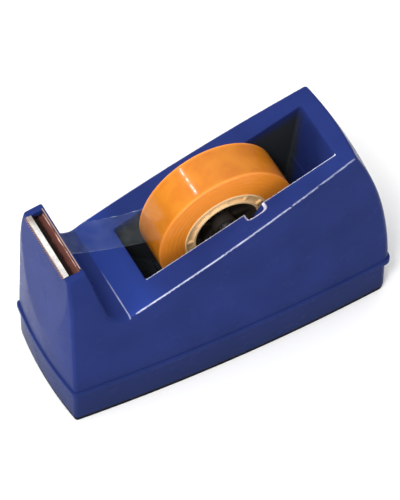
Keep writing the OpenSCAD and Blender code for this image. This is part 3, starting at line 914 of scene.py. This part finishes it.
def make_winding():
    """Roll whose turns lie unevenly, a little more so towards the outside."""
    half = TAPE_W / 2
    turns = 18
    radii = np.linspace(CORE_R, ROLL_R - 0.15, turns)
    section = [(r, half - 0.05 * (k % 3)) for k, r in enumerate(radii)]
    section += [(ROLL_R - 0.03, half - 0.12), (ROLL_R, half - 0.35)]
    section += [(ROLL_R, y) for y in np.linspace(half - 2, -half + 2, 8)]
    section += [(ROLL_R, -half + 0.35), (ROLL_R - 0.03, -half + 0.12)]
    section += [(r, -half + 0.05 * (k % 3)) for k, r in reversed(list(enumerate(radii)))]

    def wobble(ring, angle):
        ring = ring.copy()
        outer = np.clip((ring[:, 0] - CORE_R) / (ROLL_R - CORE_R), 0, 1)
        wave = math.sin(3 * angle + 0.7) + 0.6 * math.sin(7 * angle) + 0.4 * math.sin(13 * angle + 2)
        ring[:, 0] -= outer * 0.03 * (1 + np.sin(ring[:, 1] * 0.9 + 5 * angle))
        ring[:, 1] *= 1 - 0.0035 * (1 + wave / 2) * outer
        return ring

    return new_object("tape_turns", *revolve(section, 180, wobble), amber, smooth_angle=40)


RIB_FACES = ((0, 1, 2, 3), (7, 6, 5, 4), (4, 5, 1, 0), (5, 6, 2, 1), (6, 7, 3, 2), (7, 4, 0, 3))


def make_core():
    """Ring with a recess in each face, and low ribs across the recess."""
    half = TAPE_W / 2 + 0.2
    rim = 1.2
    depth = 1.2
    low = CORE_BORE_R
    high = CORE_R
    face = [(low, half - 0.3), (low + 0.25, half), (low + rim - 0.25, half), (low + rim, half - 0.25),
            (low + rim + 0.15, half - depth), (high - rim - 0.05, half - depth),
            (high - rim + 0.1, half - 0.25), (high - rim + 0.35, half), (high - 0.2, half),
            (high, half - 0.2)]
    section = face + [(r, -y) for r, y in reversed(face)]
    parts = [revolve(section, 144)]
    ribs = 12
    rib_half_t = 0.5
    for i in range(ribs):
        a = 2 * math.pi * i / ribs
        for side in (-1, 1):
            corners = []
            for y in sorted((side * (half - depth - 0.1), side * (half - 0.35))):
                for r, t in ((low + 1, -rib_half_t), (high - 1, -rib_half_t),
                             (high - 1, rib_half_t), (low + 1, rib_half_t)):
                    x = SPINDLE_X + r * math.cos(a) - t * math.sin(a)
                    z = SPINDLE_Z + r * math.sin(a) + t * math.cos(a)
                    corners.append((x, y, z))
            parts.append((corners, RIB_FACES))
    return new_object("core_ring", *joined(*parts), cream, smooth_angle=35)


# ---- Free stretch of tape ----

def make_leader():
    """Thin strip that sags a little from the cutter to the line where it peels off the roll."""
    lengthwise = 48
    across = 14
    thickness = 0.06
    half_w = TAPE_W / 2 - 0.5
    sag = 1.2
    far_droop = 0.7
    along = POCKET_END + 0.05
    out = 0.98
    start_x = NOSE_X + along * math.cos(NOSE_SLOPE) - out * math.sin(NOSE_SLOPE)
    start_z = NOSE_Z + along * math.sin(NOSE_SLOPE) + out * math.cos(NOSE_SLOPE)
    peel = math.radians(160)
    end_r = ROLL_R + 0.1
    end_x = SPINDLE_X + end_r * math.cos(peel)
    end_z = SPINDLE_Z + end_r * math.sin(peel)
    points = []
    for face in (0, 1):
        for i in range(lengthwise + 1):
            s = i / lengthwise
            for j in range(across + 1):
                t = 2 * j / across - 1
                ragged = 0.12 * math.sin(23 * s) + 0.1 * math.sin(57 * s + 1) + 0.06 * math.sin(111 * s)
                y = half_w * t - 0.4 * (1 - s)
                y += ragged * max(t, 0) ** 8
                hang = sag * 4 * s * (1 - s) + far_droop * (t + 1) * math.sin(math.pi * s) ** 0.7
                curl = 0.25 * math.sin(9 * s + 2 * t) * s * (1 - s)
                x = start_x + (end_x - start_x) * s
                z = start_z + (end_z - start_z) * s - hang + curl - face * thickness
                points.append((x, y, z))
    row = across + 1
    sheet = (lengthwise + 1) * row
    faces = []
    for i in range(lengthwise):
        for j in range(across):
            a = i * row + j
            quad = (a, a + row, a + row + 1, a + 1)
            faces.append(quad)
            faces.append(tuple(sheet + v for v in reversed(quad)))
    edge = [i * row for i in range(lengthwise + 1)]
    edge += [lengthwise * row + j for j in range(1, across + 1)]
    edge += [i * row + across for i in reversed(range(lengthwise))]
    edge += reversed(range(1, across))
    for a, b in zip(edge, edge[1:] + edge[:1]):
        faces.append((b, a, a + sheet, b + sheet))
    return new_object("tape_strip", points, faces, film, smooth_angle=50)


# ---- Pieces on their bodies ----

def put(piece, body, replaced):
    """Lets a piece ride on a body, and hides the CAD node that it stands for."""
    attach(piece, body)
    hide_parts(replaced)


put(make_casing(), "housing", "upper_casing")
put(make_tray(), "housing", "base_tray")
put(make_foot(), "housing", "foot_pad")
channel = softened("blade_channel", "channel_sheet", 0.12, tinted)
put(channel, "housing", "blade_channel")
blade = softened("cutting_blade", "blade_strip", 0.06, polished)
put(blade, "housing", "cutting_blade")
put(make_leader(), "housing", "tape_leader")
put(make_winding(), "spool", "tape_winding")
put(make_core(), "spool", "tape_core")

cad_finishes = (
    (zinc, ("casing_screws", "ballast_screws", "blade_screws")),
    (iron, ("ballast_floor_plate", "ballast_nose_block", "ballast_tail_block")),
    (black_foam, ("ballast_foam_pads",)),
    (spindle_steel, ("axle_pin", "thrust_washers")),
    (black_plastic, ("axle_cap_near", "axle_cap_far", "hub_near_half", "hub_far_half")),
)
for material, names in cad_finishes:
    for name in names:
        nodes[name].data.materials.clear()
        nodes[name].data.materials.append(material)


# ---- Floor, light and camera ----

def make_floor():
    mesh = bpy.data.meshes.new("floor")
    reach = 3.0
    corners = [(-reach, -reach, 0), (reach, -reach, 0), (reach, reach, 0), (-reach, reach, 0)]
    mesh.from_pydata(corners, [], [(0, 1, 2, 3)])
    material = bpy.data.materials.new("floor_white")
    material.use_nodes = True
    shader = material.node_tree.nodes["Principled BSDF"]
    shader.inputs["Base Color"].default_value = (0.95, 0.95, 0.95, 1)
    shader.inputs["Roughness"].default_value = 0.9
    mesh.materials.append(material)
    floor = bpy.data.objects.new("floor", mesh)
    bpy.context.scene.collection.objects.link(floor)


def area_light(name, direction, distance, size, power):
    """Soft light that looks at the dispenser from a direction."""
    light = bpy.data.lights.new(name, "AREA")
    light.shape = "RECTANGLE"
    light.size, light.size_y = size
    light.energy = power
    middle = Vector((0, 0, 0.05))
    obj = bpy.data.objects.new(name, light)
    obj.location = Vector(direction).normalized() * distance + middle
    obj.rotation_euler = (middle - obj.location).to_track_quat("-Z", "Y").to_euler()
    bpy.context.scene.collection.objects.link(obj)


def make_world():
    """A white dome that is brightest overhead and dimmer towards the horizon."""
    world = bpy.data.worlds.new("studio")
    world.use_nodes = True
    tree = world.node_tree
    direction = tree.nodes.new("ShaderNodeTexCoord").outputs["Generated"]
    split = tree.nodes.new("ShaderNodeSeparateXYZ")
    tree.links.new(direction, split.inputs["Vector"])
    strength = ranged(tree, split.outputs["Z"], 0.2, 1.2, 0.1, 0.95)
    background = tree.nodes["Background"]
    background.inputs["Color"].default_value = (1, 1, 1, 1)
    tree.links.new(strength, background.inputs["Strength"])
    bpy.context.scene.world = world


def make_camera():
    """Camera far off at the picture's angle, turned a little about its own axis."""
    azimuth = math.radians(-28.31)
    elevation = math.radians(52.36)
    roll = math.radians(0.863)
    target = Vector((1.31, 7.91, 32.02)) * MM
    distance = 1492.1 * MM
    back = Vector((math.sin(azimuth) * math.cos(elevation),
                   -math.cos(azimuth) * math.cos(elevation), math.sin(elevation)))
    right = Vector((math.cos(azimuth), math.sin(azimuth), 0))
    up = back.cross(right)
    level_right = right * math.cos(roll) + up * math.sin(roll)
    level_up = up * math.cos(roll) - right * math.sin(roll)
    turned = Matrix((level_right, level_up, back)).transposed().to_4x4()
    data = bpy.data.cameras.new("camera")
    data.lens = 257.6
    data.sensor_width = 36
    data.clip_end = 20
    camera = bpy.data.objects.new("camera", data)
    camera.matrix_world = Matrix.Translation(target + back * distance) @ turned
    bpy.context.scene.collection.objects.link(camera)
    bpy.context.scene.camera = camera


make_floor()
area_light("key", (-0.415, 0.54, 0.73), 1.6, (0.03, 0.03), 0.8)
area_light("front_fill", (-0.9, -0.3, 0.75), 1.6, (1.0, 0.8), 4)
area_light("front_low", (-1.0, -0.15, 0.12), 1.2, (0.5, 0.2), 5.5)
area_light("camera_fill", (-0.40, -0.38, 0.83), 1.5, (0.3, 0.3), 10)
area_light("back_strip", (-0.08, 0.92, 0.36), 1.5, (0.3, 0.4), 4)
make_world()
bpy.context.scene.view_settings.view_transform = "Standard"
make_camera()
